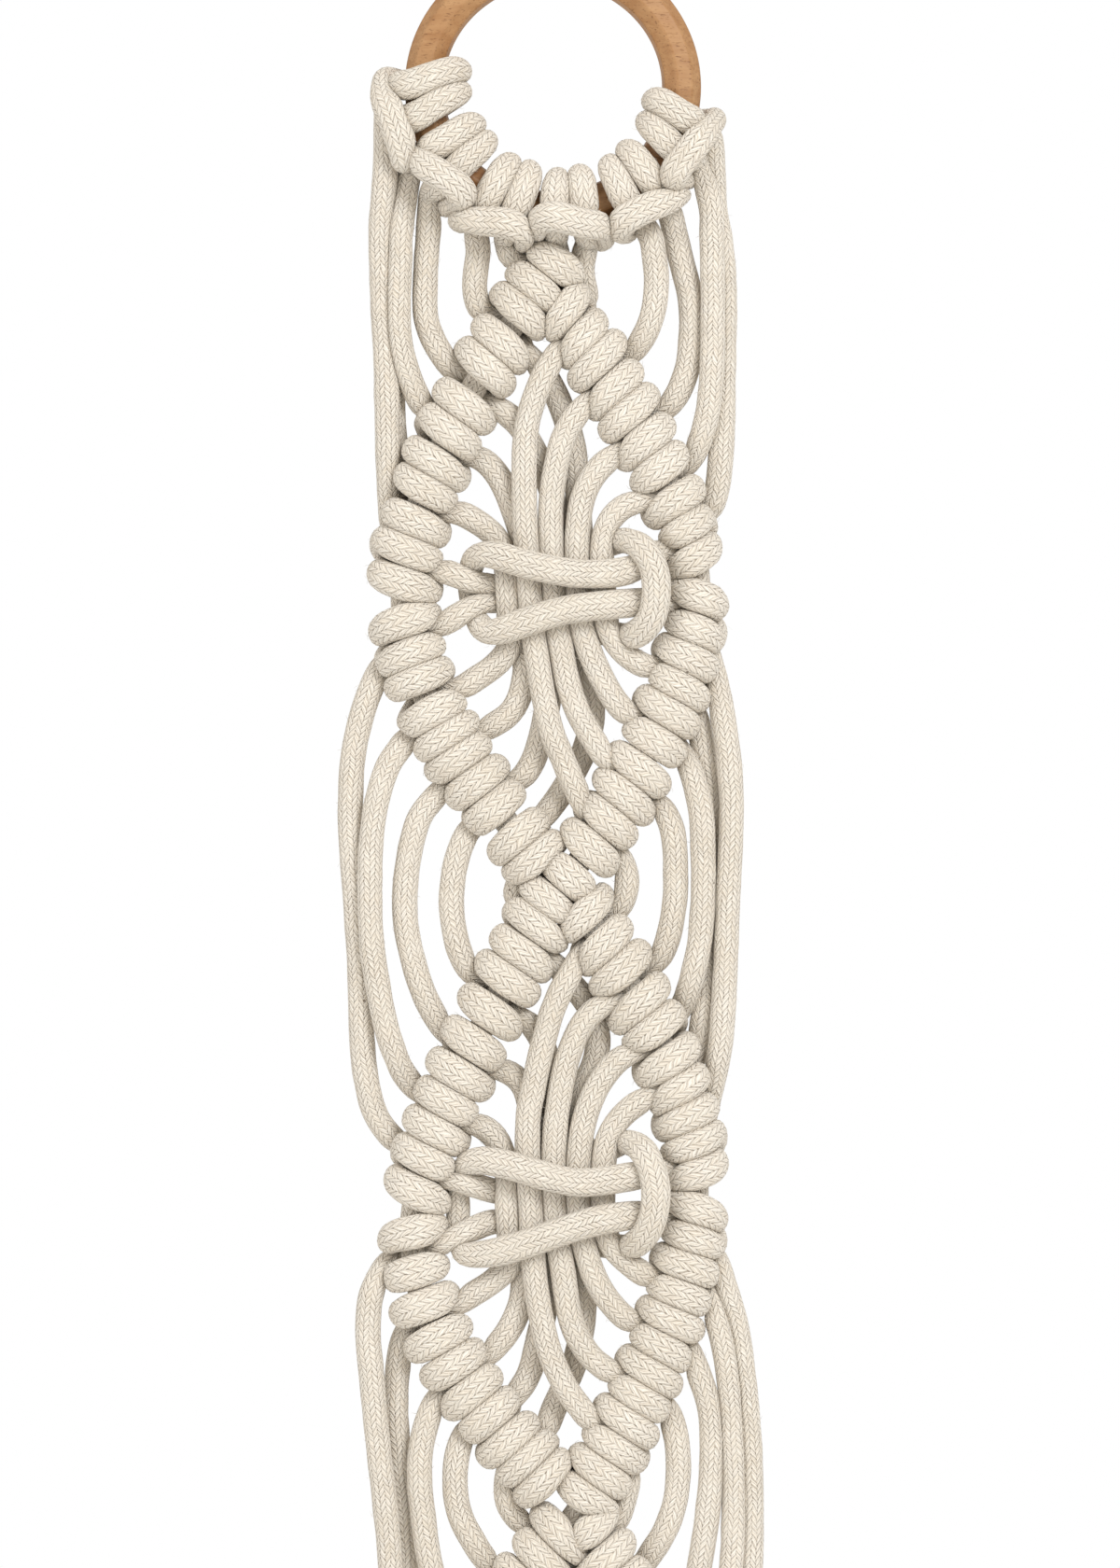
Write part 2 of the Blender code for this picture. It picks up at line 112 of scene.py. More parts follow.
# Six ropes hang on the ring: the angle of each lark's head from straight down, and its two legs.
# Skew moves a head's inner ends along the ring, and loose lets them stand farther off it. Shift,
# low and tilt place the front loop: along the ring, out from it, and one end farther out.
Head = namedtuple("Head", "angle left_x left_y right_x right_y drop_z skew loose shift low tilt")
HEADS = (
    Head(-81.6, -40.9, -1.5, -39.6, 5.6, -49, -3.9, 2, 5.2, -0.4, -0.1),
    Head(-53.6, -37.2, -1, -30.6, 1.5, -64, -0.4, 2.9, 3.2, -4.5, -0.9),
    Head(-22.5, -18.6, 1, -11.4, 1, -68.4, 0.7, 2.1, 0.4, -2.8, -1),
    Head(6.6, 0.6, 1.5, 6.8, 1, -68.6, 1.4, 1, -0.3, -5.6, 1.2),
    Head(37.9, 23.1, -1, 28.9, 3.5, -66, 1.5, -0.1, -1.4, -1.6, 0.8),
    Head(66.9, 37.2, -1.5, 38.1, 3.5, -58.5, 3.6, -0.3, -3.6, -2.8, 0.5),
)
# A lark's head about the ring's bar: out from the bar's middle, forward of it, along the ring.
HEAD_TURN = (
    (8.6, -1.5, 3.2), (6.7, 3.2, 3.4), (2.8, 6.9, 3.6), (-2.6, 7.2, 3.5), (-5.7, 4.4, 3.4),
    (-6.4, 0, 3.3), (-5.7, -4.4, 3.3), (-2.6, -7.4, 3.5), (2.8, -7.6, 3.9),
)
HEAD_BAR = (
    (3.5, -7.8, 4.2), (8, -6, 5.2), (9.6, -0.5, 6.4), (9.8, 4.6, 6.2), (9, 7.8, 3.2),
)
HEAD_PRESS = 0.75       # how much of the widening a head's rope takes in front

# Routes are points (x, height) with a depth y for the whole route, or (x, height, y).
# From each lark's head to the first diamond.
LEGS = {
    1: (0, ((-41.9, -63), (-41.6, -79), (-40.7, -97.5), (-40.3, -116.5, 1), (-39.8, -129, 3),
        (-38.6, -138, 4.5))),
    2: (5, ((-38.5, -60), (-38, -75.5), (-39.2, -104), (-38.6, -114), (-36.8, -122))),
    3: (-1.5, ((-37.3, -70), (-37.8, -79), (-37.3, -91.5), (-33.8, -102.5, 1), (-31, -107.5, 3))),
    4: (1, ((-31.4, -75.5), (-30.9, -86.5), (-27.3, -93.5, 2), (-24, -97.4, 3.5))),
    5: (1, ((-19.2, -72.5), (-19.5, -78.5, 2), (-17.2, -84, 3.5))),
    6: (1, ((-11, -70.5),)),
    7: (2, ()),
    8: (3, ((6.3, -71, 2), (6.4, -75.5, 3), (7.2, -80.5, 5))),
    9: (-1, ((23.2, -68.5), (24, -75.5), (22.8, -85), (18.4, -92.5, 3))),
    10: (3, ((29.6, -69.5), (32, -79), (32.3, -91.5), (30, -101), (25.4, -107, 4))),
    11: (-1, ((37.3, -63), (37.5, -85), (36.8, -104), (34.6, -114, 1), (30.8, -120, 4))),
    12: (3, ((39.7, -68), (40.3, -79), (40.1, -97.5), (39.6, -116.5), (37.6, -129, 4))),
}

# Fans, with heights from the middle of the diamond's square knot: from the upper row into the
# knot, and from the knot to the lower row.
FAN_UPPER_1 = {
    2: (1.5, ((-24.5, 19.3), (-18, 16.2), (-13.5, 11.8), (-12.2, 7), (-11.8, 2, -1))),
    3: (3, ((-20, 33), (-14.5, 28.7), (-11, 21.5), (-8.5, 14), (-8, 6, 4.5))),
    4: (4, ((-14, 43.8, 2), (-9.6, 40.8, 2.5), (-4.5, 32.5), (-0.6, 22), (0.5, 8, 4.5))),
    5: (4, ((-7.5, 57, 1.5), (-3, 52.5, 3), (1, 45), (4, 35.5), (4.8, 27.5), (5.5, 18), (6.5, 6, 4.5))),
    8: (-2.5, ((1.5, 58.5, 0), (-2, 53.5), (-5, 47), (-7, 40), (-7.7, 30.5), (-7.5, 18), (-6.6, 4))),
    9: (-2, ((9.8, 46.4, 0), (5.4, 42.9), (1.9, 37.2), (-0.3, 29), (-1.3, 19), (-0.9, 4))),
    10: (-2, ((17.6, 34, 0), (11.5, 30.8), (7.7, 25.8), (5.6, 19), (4.9, 4))),
    11: (-2, ((23.5, 22.2, 0), (16.3, 20.5), (12.2, 15.8), (10.9, 9.5), (11.2, 3))),
}
FAN_LOWER_1 = {
    2: (1, ((-11.3, -7, 0), (-11, -13), (-14.5, -17.5), (-19.5, -21), (-23.5, -23.5))),
    3: (3, ((-9, -9, 4.5), (-7.5, -19.5), (-10.4, -28.4), (-15.6, -32.2), (-19.4, -34.2))),
    4: (4, ((1, -8, 4.5), (-0.8, -19.5), (-3.2, -32.5), (-5.8, -41), (-9.8, -46, 2.5))),
    5: (4.5, ((6.5, -8), (8.3, -23.5), (8.6, -31.5), (5.5, -40.8), (0, -50), (-4.6, -55.5, 2.5))),
    8: (-2.5, ((-5.6, -9), (-4.4, -17), (-1.3, -33), (2, -41), (5, -48), (8, -53, -0.5))),
    9: (-2, ((0, -7), (1.4, -15), (3, -23), (6, -30.5), (10.6, -38), (14, -42.5, -0.5))),
    10: (-2, ((5.6, -5), (6.5, -10), (9.3, -17.5), (13.7, -25.5), (18.5, -30.7, -0.5))),
    11: (-2, ((11.6, -4), (12.6, -9.4), (16, -14.4), (22.8, -18.5, -0.5))),
}
FAN_UPPER_2 = {
    2: (1.5, ((-24, 20.3), (-19, 19.1), (-14.5, 15.9), (-12.2, 10.2), (-11.8, 0, -1))),
    3: (3, ((-17.5, 33.2), (-12.5, 32), (-8.3, 29), (-6.3, 23.5), (-5.6, 15), (-5.4, 4, 4.5))),
    4: (4, ((-9.5, 44.6, 2), (-4.8, 41.6), (-2, 34), (0, 20), (0.5, 5, 4.5))),
    5: (4, ((-2.5, 59, 1.5), (2.5, 54, 3), (7, 48.5), (10, 41), (9.3, 34), (6, 26), (6, 14),
        (6.5, 4, 4.5))),
    8: (-2.5, ((6.5, 60, 0), (3, 54.5), (-0.5, 47.5), (-3, 39), (-5, 30.5), (-6.8, 20), (-6.8, 11),
        (-6.2, 1))),
    9: (-2, ((15.5, 49.5, 0), (10.5, 47.5), (6.5, 43.5), (3, 36), (0.5, 24.5), (-0.6, 12.5), (-0.5, 1))),
    10: (-2, ((22.5, 38.2, 0), (18.2, 36.7), (13.3, 33.2), (8.8, 26), (6.2, 18), (5.3, 10), (5.1, 1))),
    11: (-2, ((26.5, 26.6, 0), (22.5, 25.7), (17.3, 22.7), (13, 17), (11.4, 10.5), (11.2, 2))),
}
FAN_LOWER_2 = {
    2: (1, ((-11.3, -8, 0), (-10.5, -14), (-14.5, -18), (-20.5, -22), (-25, -24.5))),
    3: (3, ((-8.5, -10, 4.5), (-7.8, -18), (-9, -25.5), (-12.5, -32), (-17.5, -37))),
    4: (4, ((0.5, -8, 4.5), (-1.5, -19), (-4, -31.5), (-7.5, -43), (-11.5, -47.5, 2.5))),
    5: (4.5, ((6, -9), (6.8, -24), (4.5, -38), (-0.5, -49), (-3.5, -57, 2.5))),
    8: (-2.5, ((-5.6, -12), (-4.5, -22.5), (-2, -34), (1.5, -42.5), (6, -49), (10.5, -54, -0.5))),
    9: (-2, ((0.3, -8), (1.8, -17.5), (3.5, -27.5), (6.3, -34), (10.5, -38.5), (15.5, -41.5, -0.5))),
    10: (-2, ((5.7, -6), (7, -11), (8.8, -16.5), (12.8, -23.5), (18.5, -28.5, -0.5))),
    11: (-2, ((11.5, -5), (13, -9.3), (17, -13.7), (23.5, -18, -0.5))),
}

# The square knot in the middle of a diamond. The bar rope crosses in front twice, the tie rope
# crosses behind and comes round the ends of both bars as a loop. Points are (x, height, y), with
# heights from the knot's middle.
KNOT_FRONT, KNOT_PRESS = -3.5, 0.6  # in front of this depth, its rope takes this much widening
BARS_1 = (
    (29, 11, 0), (23.5, 9, -3), (17.5, 5, -6.5), (8, 4, -7.7), (-1, 5, -8), (-9, 6.9, -7.5),
    (-14.8, 8.6, -6), (-18.8, 8.6, -2.6), (-20.6, 4.6, 1.5), (-20.4, 0, 3), (-19.4, -5.4, 1),
    (-16.6, -9.8, -3.2), (-12.2, -9.2, -6), (-6.8, -7.2, -7.6), (2, -4.6, -8), (11.5, -3.4, -7.7),
    (18, -2.8, -6), (24, -2.2, -2.5), (29, -4, 0),
)
TIE_1 = (
    (-28.5, 5.2, 0), (-22, 3.2, -1.8), (-15.5, 1.2, 2), (-9, 1.4, 9), (0, 5, 10.5), (8, 11, 9),
    (12.5, 11.4, 4.5), (15.8, 12.2, -2.5), (20, 10.6, -8), (23.2, 5.6, -10.3), (23.9, -0.5, -10.8),
    (22.6, -6.8, -9.5), (18.6, -10.6, -5), (13.8, -10.2, 3), (6, -8.6, 9), (-2, -6, 10.5),
    (-9, -3.2, 9), (-15.5, -2.2, 2), (-21.5, -4.6, -1.8), (-28, -8.2, 0),
)
BARS_2 = (
    (29, 9, 0), (24.5, 8, -3), (19, 7, -6.2), (14, 6.3, -7.4), (5, 5.4, -8), (-4.5, 7.6, -7.8),
    (-13, 10, -6.8), (-18, 10.6, -5), (-22.2, 9, -1.5), (-24, 4, 1.8), (-23.6, -1, 3),
    (-23.6, -7, 1.5), (-22.2, -11.6, -2.2), (-16, -11.6, -5.5), (-8, -9.5, -7.5), (0.5, -6.4, -8),
    (9.5, -3.7, -7.8), (18, -2.5, -6), (23.5, -2.4, -2.5), (28, -4.5, 0),
)
TIE_2 = (
    (-27, 6.5, 0), (-20, 4.8, -1.8), (-15.3, 3.2, 2), (-9, 2.6, 9), (0, 6, 10.5), (8, 11.5, 9),
    (13, 13.4, 4.5), (17, 15, -2.5), (20.8, 12.9, -8), (23.2, 7.5, -10.3), (23.7, 1, -10.8),
    (22.2, -5.3, -9.5), (18.3, -9.8, -5), (13.8, -10.3, 3), (6, -9.4, 9), (-2, -8, 10.5),
    (-9, -5.2, 9), (-15.5, -4.4, 2), (-23, -7.4, -1.8), (-28.5, -10.2, 0),
)

# Free runs at both sides from one diamond to the next.
BOWS_1 = {
    1: (1.5, ((-40.5, -166.5, 4), (-44.7, -174.5), (-48.3, -187), (-49.4, -204), (-48.1, -224),
        (-46.9, -244.5), (-46.6, -256), (-45.5, -267.5), (-42.4, -277.5, 4))),
    2: (-2.5, ((-35.5, -185, 2.5), (-40.5, -192.5, -1), (-43.9, -206), (-44.6, -220.5), (-44.2, -234.5),
        (-42.1, -248), (-39.4, -259), (-35, -268, 3.5))),
    3: (0, ((-27, -197, 3), (-32.8, -204.5), (-36, -218.5), (-35.9, -231), (-32.5, -244.5),
        (-27.4, -254.5, 3.5))),
    4: (0, ((-19, -205, 3.5), (-22.6, -210.5), (-25, -221), (-24.4, -232), (-20.4, -241.5, 3.5))),
    5: (3, ((-8.6, -215.5), (-9.7, -220), (-9.5, -225.5), (-8, -230.5, 4))),
    8: (2.5, ((13.4, -212, 4), (16.7, -217), (16.4, -223.5), (12.6, -229, 4))),
    9: (0, ((24, -201, 3), (27.6, -206.5), (28.6, -217), (28, -227.5), (24.8, -238, 3))),
    10: (-1, ((30.5, -189.5, 3), (34.2, -200), (35.2, -214), (34.7, -231), (33, -241), (30, -250, 3.5))),
    11: (4.5, ((33.8, -181), (36.3, -200), (37.1, -216), (36.3, -237.5), (35.3, -252), (33.3, -261))),
    12: (0, ((37, -167, 4), (40.4, -183), (41.9, -200), (41.1, -224), (40.3, -244.5),
        (39.4, -258), (36.8, -271, 4))),
}
BOWS_2 = {
    1: (-1, ((-38.6, -310, 4), (-44, -317.5), (-45.1, -327), (-44.2, -338.5), (-42.5, -356), (-40.5, -373),
        (-39.5, -388.5), (-40, -408), (-40, -425, 3.5))),
    2: (4, ((-33, -323.5), (-36.5, -329), (-38, -336.5), (-38.5, -345.5), (-37.5, -362.5),
        (-36, -379.5), (-36.5, -398), (-35.5, -411))),
    3: (-1, ((-26.6, -341.5, 3), (-30.9, -349, 0), (-32.8, -360), (-31.8, -373), (-29.8, -385),
        (-26, -398, 3))),
    4: (0, ((-20.1, -350.5, 3.5), (-23.6, -356.5), (-23.8, -369), (-19.8, -378), (-15.5, -384, 3.5))),
    5: (2, ((-10, -358.5, 4), (-12, -363.5), (-11.3, -369.5), (-7.2, -374.5, 4))),
    8: (3, ((16, -356.5, 4), (17.5, -362), (16, -369), (13, -375.5, 4))),
    9: (0, ((26, -345.5, 3), (28.8, -353.5), (29.1, -364), (27.1, -373), (22.8, -381, 3.5))),
    10: (0, ((30, -329.5, 3.5), (33.4, -336), (36.7, -345.5), (37.2, -359), (35.5, -376.5),
        (31.2, -395, 3.5))),
    11: (0, ((35.5, -316.5, 3.5), (38.4, -324.5), (40.9, -335), (42.2, -352.5), (42.7, -369.5),
        (41.5, -388), (36.5, -406, 3.5))),
    12: (1.5, ((37, -307.5, 4), (40.3, -316.5), (42.9, -325), (44.9, -338.5), (46.4, -356), (46.7, -376.5),
        (45.2, -402), (40.5, -424, 4))),
}

# ---- the cradle, in millimetres
# Three arms of four ropes each split into pairs, which meet the next arm's pairs.
Arm = namedtuple("Arm", "azimuth ropes")
ARMS = (Arm(150, (4, 3, 2, 1)), Arm(270, (5, 6, 7, 8)), Arm(30, (12, 11, 10, 9)))
PAIR_TURN = 60          # from an arm to the knots that its two pairs go to
ARM_KNOT = (24, -592)   # distance from the middle line, and height
BELLY = (47, -668)
BASKET_KNOT = (41, -736)
NECK = (12.5, -792)
KNOT_HALF = 13          # half the height of a square knot on four ropes
PITCH = 5.8             # ropes side by side in an arm
# A square knot on four ropes, as (across, out, up).
FRONT_ROPE = (
    (8.7, 0, 12), (11.5, 2.5, 8.5), (6, 5.8, 5.4), (-6, 6, 5.2), (-12.3, 1.5, 0),
    (-6, 6, -5.2), (6, 5.8, -5.4), (11.5, 2.5, -8.5), (8.7, 0, -12),
)
BACK_ROPE = (
    (-8.7, 0, 12), (-8, -3.5, 8), (5, -6, 5), (12.6, 0, 4.2), (13, 6, 0),
    (12.6, 0, -4.2), (5, -6, -5), (-8, -3.5, -8), (-8.7, 0, -12),
)
WRAP_TOP, WRAP_BOTTOM = -800, -836
WRAP_RADIUS, WRAP_TURNS = 15.8, 6
TASSEL_BOTTOM = -985
# The tassel's outer and inner ends: how many, radius in the wrap, radius at the cut, turn, and
# how unevenly they are cut.
TASSEL_RINGS = ((9, 8.6, 15.5, 0, 1), (3, 3.1, 6.2, 0.3, 0.6))
CUTS = (3, 0.5, 4.5, 1.5, 6)  # how far above the bottom the ends are cut, by turns

chance = random.Random(11)


# ---- lines
def point(x, y, z, flat=(0, 0, 0)):
    """A route point: its place, and the direction in which the rope is flattened out there."""
    return np.array([x, y, z, *flat], dtype=float)


def unit(v):
    """The vector v with a length of one."""
    return v / max(np.linalg.norm(v), 1e-9)


def route(table, base=0):
    """A table's route as points, with heights from base."""
    depth, places = table
    return [point(p[0], p[2] if len(p) > 2 else depth, base + p[1]) for p in places]


def knot_route(places, base):
    """A square knot's route. Where it lies in front, the rope is pressed wider across its run."""
    made = []
    for i, (x, z, y) in enumerate(places):
        before, after = places[max(i - 1, 0)], places[min(i + 1, len(places) - 1)]
        run = unit(np.array([after[0] - before[0], after[1] - before[1]]))
        wide = KNOT_PRESS if y < KNOT_FRONT else 0
        made.append(point(x, y, base + z, (run[1] * wide, 0, -run[0] * wide)))
    return made


def smooth(points):
    """A centripetal Catmull-Rom curve through the points, read at every step."""
    pts = np.array(points)
    pts = np.vstack([2 * pts[0] - pts[1], pts, 2 * pts[-1] - pts[-2]])
    gaps = np.maximum(np.linalg.norm(np.diff(pts[:, :3], axis=0), axis=1), 1e-3) ** 0.5
    dense = []
    for i in range(1, len(pts) - 2):
        a, b, c, d = pts[i - 1:i + 3]
        k0, k1, k2 = gaps[i - 1], gaps[i], gaps[i + 1]
        count = max(2, math.ceil(k1 * k1 / 0.35))
        t = (np.arange(count) / count * k1)[:, None]
        a1 = a - (a - b) * (t + k0) / k0
        a2 = b + (c - b) * t / k1
        a3 = c + (d - c) * (t - k1) / k2
        b1 = a1 + (a2 - a1) * (t + k0) / (k0 + k1)
        b2 = a2 + (a3 - a2) * t / (k1 + k2)
        dense.append(b1 + (b2 - b1) * t / k1)
    return evenly(np.vstack([*dense, pts[-2][None]]), STEP)


def evenly(dense, step):
    """The same line with its points about a step apart."""
    reach = np.concatenate([[0], np.cumsum(np.linalg.norm(np.diff(dense[:, :3], axis=0), axis=1))])
    count = max(3, int(round(reach[-1] / step)) + 1)
    want = np.linspace(0, reach[-1], count)
    return np.stack([np.interp(want, reach, dense[:, k]) for k in range(dense.shape[1])], axis=1)


def relaxed(line, rounds):
    """The line with its small kinks eased, its ends kept."""
    for _ in range(rounds):
        line = line.copy()
        line[1:-1] = 0.25 * line[:-2] + 0.5 * line[1:-1] + 0.25 * line[2:]
    return line


def side_x(side, z):
    """How far a side of a diamond is from the middle line at a height."""
    end, sag = (side.top, side.sags[0]) if z > side.corner[1] else (side.bottom, side.sags[1])
    share = min(max((z - end[1]) / (side.corner[1] - end[1]), 0), 1)
    x = end[0] + (side.corner[0] - end[0]) * math.sin(math.pi / 2 * share)
    return x - sag * math.copysign(1, side.corner[0]) * math.sin(math.pi * share)


class Holder:
    """The line of a holder rope down one or more sides of diamonds, as (x, height)."""

    SPACING, BEYOND = 0.5, 12     # of the line's points, and past its ends

    def __init__(self, sides, skip=0):
        pts = []
        for number, side in enumerate(sides):
            first = side.top[1] - (skip if number else 0)
            last = side.bottom[1] + (skip if number < len(sides) - 1 else 0)
            for z in np.linspace(first, last, 90):
                pts.append((side_x(side, z), z))
        start = np.array(pts[0]) - self.BEYOND * unit(np.array(pts[6]) - np.array(pts[0]))
        end = np.array(pts[-1]) + self.BEYOND * unit(np.array(pts[-1]) - np.array(pts[-7]))
        self.pts = relaxed(evenly(np.array([start, *pts, end]), self.SPACING), 12)
        self.reach = np.arange(len(self.pts)) * np.linalg.norm(self.pts[1] - self.pts[0])

    def station(self, z):
        """Where along the line a height is reached."""
        return float(np.interp(-z, -self.pts[:, 1], self.reach))

    def at(self, reach):
        """The line's place at a station."""
        return np.array([np.interp(reach, self.reach, self.pts[:, k]) for k in (0, 1)])

    def along(self, reach):
        """The line's direction at a station."""
        return unit(self.at(reach + 1.5) - self.at(reach - 1.5))

    def run(self, top, bottom):
        """The holder rope's own route from one height to another."""
        count = max(2, int(abs(top - bottom) / 5) + 1)
        heights = np.linspace(top, bottom, count)
        return [point(*np.insert(self.at(self.station(z)), 1, 0)) for z in heights]


# ---- knots
def hitch(holder, z1, z2, turn, slants, girth=1):
    """A double half hitch on a holder: two wraps in front and their crossing behind.

    The rope comes in behind, from the side that turn gives, and leaves behind to the other side.
    A girth below one draws the wraps in tighter at both sides of the holder.
    """
    u1, u2 = holder.station(z1), holder.station(z2)
    middle, half = (u1 + u2) / 2, (u2 - u1) / 2
    lean1, lean2 = slants[0] / 2, slants[1] / 2
    # Degrees round the holder, reach from its middle, and place along it.
    keys = (
        (176, SIDE_REACH, -2.4), (225, WRAP_REACH, -half + lean1),
        (270, WRAP_REACH, -half + lean1), (360, WRAP_REACH, -half), (450, WRAP_REACH, -half - lean1),
        (500, CROSS_REACH, -half * 0.8), (540, BACK_REACH, 0), (580, CROSS_REACH, half * 0.8),
        (630, WRAP_REACH, half + lean2), (720, WRAP_REACH, half), (810, WRAP_REACH, half - lean2),
        (855, WRAP_REACH, half - lean2), (904, SIDE_REACH, 2.4),
    )
    angles, reaches, places = np.array(keys, dtype=float).T
    made = []
    for angle in np.linspace(keys[0][0], keys[-1][0], 32):
        u = middle + np.interp(angle, angles, places)
        rho = np.interp(angle, angles, reaches)
        tx, tz = holder.along(u)
        enter = np.array([tz, -tx]) * turn
        x, z = holder.at(u)
        c, s = math.cos(math.radians(angle)), math.sin(math.radians(angle))
        rho *= 1 - (1 - girth) * s * s
        pressed = 0.62 + 0.38 * max(c, 0) if 215 < angle < 865 else 0
        made.append(point(x + rho * s * enter[0], -rho * c * 0.97, z + rho * s * enter[1],
                          (tx * pressed, 0, tz * pressed)))
    return made


# How much tighter the wraps are drawn at the outer corner of each row.
CORNER_GIRTH = {(1, "right"): 0.72, (2, "right"): 0.84, (2, "left"): 0.94}
# How far a wrap's two ends lie apart along each row, what that grows to at the outer corner, and
# the height over which it grows.
ROW_SLANTS = {
    ("left", "upper"): 2.6, ("left", "lower"): 0.3, ("right", "upper"): 3.2, ("right", "lower"): 2.3,
}
CORNER_SLANT, CORNER_SPAN = 4.4, 26


def row_hitch(number, diamond, part):
    """The hitch of a rope end on a row, with its wraps leaning more near the diamond's corner."""
    side = "left" if number < 7 else "right"
    nearest = 5 - number if number < 7 else number - 8
    pair = nearest + ((diamond, side) == (1, "left")) if part == "upper" else 4 - nearest
    z1, z2 = WRAPS[diamond, side, part][2 * pair:2 * pair + 2]
    base, corner = ROW_SLANTS[side, part], EDGES[diamond, side].corner[1]
    near = [max(0, 1 - abs(z - corner) / CORNER_SPAN) for z in (z1, z2)]
    slants = [base + (CORNER_SLANT - base) * share + chance.uniform(-0.7, 0.7) for share in near]
    tightened = max(near)
    if (number, diamond, part) == (8, 1, "upper"):
        slants, tightened = (5.4, 4.6), 0.7     # drawn down hard under the first crossing
    turn = 1 if (side == "left") == (part == "upper") else -1
    girth = 1 - (1 - CORNER_GIRTH.get((diamond, side), 1)) * tightened
    return hitch(HOLDERS[diamond, side], z1, z2, turn, slants, girth * chance.uniform(0.97, 1.03))


def around(azimuth, place, across=0, up=0):
    """A point at an azimuth of the middle line, from its (distance, height), moved across and up."""
    angle = math.radians(azimuth)
    distance, height = place
    return point(math.cos(angle) * distance - math.sin(angle) * across,
                 math.sin(angle) * distance + math.cos(angle) * across, height + up)


def arm_offset(k):
    """How far rope k, 0 to 3, lies to the side in its arm."""
    return (k - 1.5) * PITCH


def square_knot(azimuth, place, k):
    """The route of rope k, 0 to 3, through a square knot on four ropes."""
    straight = [(arm_offset(k), 0, up) for up in (12, 4, -4, -12)]
    shape = {0: BACK_ROPE, 3: FRONT_ROPE}.get(k, straight)
    distance, height = place
    return [around(azimuth, (distance + out, height + up), across) for across, out, up in shape]


def on_ring(head, turn, side, bar):
    """A lark's head point. Its turns are pressed wide along the ring, and its front loop across."""
    out, front, along = turn
    if bar:
        share = min(max((front + 3) / 8, 0), 1)
        moved = (head.low + side * head.tilt) * share
        out, place = out + moved, side * along + head.shift * share
        front -= 0.85 * min(moved, 0) * share
    else:
        out -= head.loose * max(0, -out / 6.4)
        place = side * along + head.skew * max(0, 2 - out) / 9
    angle = math.radians(head.angle) + place / RING_RADIUS
    reach = RING_RADIUS + out
    s, c = math.sin(angle), math.cos(angle)
    pressed = HEAD_PRESS if front > 0 else 0
    flat = (pressed * s, 0, -pressed * c) if bar else (pressed * c, 0, pressed * s)
    return point(RING_X + s * reach, -front, RING_Z - c * reach, flat)


def head_route(head, side):
    """Half a lark's head, from its leg up round the ring's bar to the middle of the front loop."""
    x, y = (head.left_x, head.left_y) if side < 0 else (head.right_x, head.right_y)
    made = [point(x, y, head.drop_z)]
    made += [on_ring(head, turn, side, False) for turn in HEAD_TURN]
    made += [on_ring(head, turn, side, True) for turn in HEAD_BAR]
    return made


# ---- whole ropes
HOLDERS = {
    (1, "left"): Holder([EDGES[1, "left"]]),
    (1, "right"): Holder([EDGES[1, "right"], EDGES[2, "left"]], 2),
    (2, "right"): Holder([EDGES[2, "right"], EDGES[3, "left"]], 2),
    (3, "right"): Holder([EDGES[3, "right"]]),
}
HOLDERS[2, "left"] = HOLDERS[1, "right"]
HOLDERS[3, "left"] = HOLDERS[2, "right"]


def middle_part(number, diamond):
    """A rope end's way through a diamond, between its upper and its lower hitch."""
    base = KNOT_Z[diamond - 1]
    if number == 1:
        return knot_route(TIE_1 if diamond == 1 else TIE_2, base)
    if number == 12:
        return knot_route(BARS_1 if diamond == 1 else BARS_2, base)
    upper, lower = (FAN_UPPER_1, FAN_LOWER_1) if diamond == 1 else (FAN_UPPER_2, FAN_LOWER_2)
    return route(upper[number], base) + route(lower[number], base)


def arm_place(number):
    """A rope end's arm, and its place in it, 0 to 3."""
    arm = next(arm for arm in ARMS if number in arm.ropes)
    return arm, arm.ropes.index(number)


def cradle_part(number):
    """A rope end's way from the last diamond down its arm, and into the gathering wrap."""
    arm, k = arm_place(number)
    made = square_knot(arm.azimuth, ARM_KNOT, k)
    made.append(around(arm.azimuth, BELLY, 1.15 * arm_offset(k)))
    sign = -1 if k < 2 else 1
    azimuth, spot = arm.azimuth + sign * PAIR_TURN, k - 2 * sign
    made += square_knot(azimuth, BASKET_KNOT, spot)
    for place, spread in ((NECK, 0.9), ((8.4, WRAP_TOP - 3), 0.75), ((7.4, WRAP_BOTTOM + 12), 0.6)):
        made.append(around(azimuth, place, spread * arm_offset(spot)))
    return made


def into_arm(number, last):
    """From the last hitch over to the knot at the top of the arm."""
    arm, k = arm_place(number)
    end = around(arm.azimuth, ARM_KNOT, arm_offset(k), KNOT_HALF + 7)
    middle = last + (end - last) * 0.45
    middle[0] *= 1 + 0.25 * abs(last[0]) / 34
    middle[3:] = 0
    return [middle, end]


def rope_end(number):
    """The route of one rope end, from its leg below the ring down into the gathering wrap."""
    made = route(LEGS[number])
    if number == 7:
        made += HOLDERS[1, "left"].run(-73, -213.5)
        made += hitch(HOLDERS[1, "right"], *WRAPS[1, "right", "lower"][-2:], 1, (2.3, 2.3))
        made += HOLDERS[2, "right"].run(-229, -515)
    elif number == 6:
        made += hitch(HOLDERS[1, "left"], *WRAPS[1, "left", "upper"][:2], 1, (1.6, 1.6))
        made += HOLDERS[1, "right"].run(-85, -361.5)
        made += hitch(HOLDERS[2, "right"], *WRAPS[2, "right", "lower"][-2:], 1, (2.3, 2.3))
        made += HOLDERS[3, "right"].run(-377, -518)
    else:
        for diamond in (1, 2, 3):
            made += row_hitch(number, diamond, "upper")
            made += middle_part(number, diamond)
            made += row_hitch(number, diamond, "lower")
            if diamond < 3:
                made += route((BOWS_1, BOWS_2)[diamond - 1][number])
    made += into_arm(number, made[-1])
    return made + cradle_part(number)


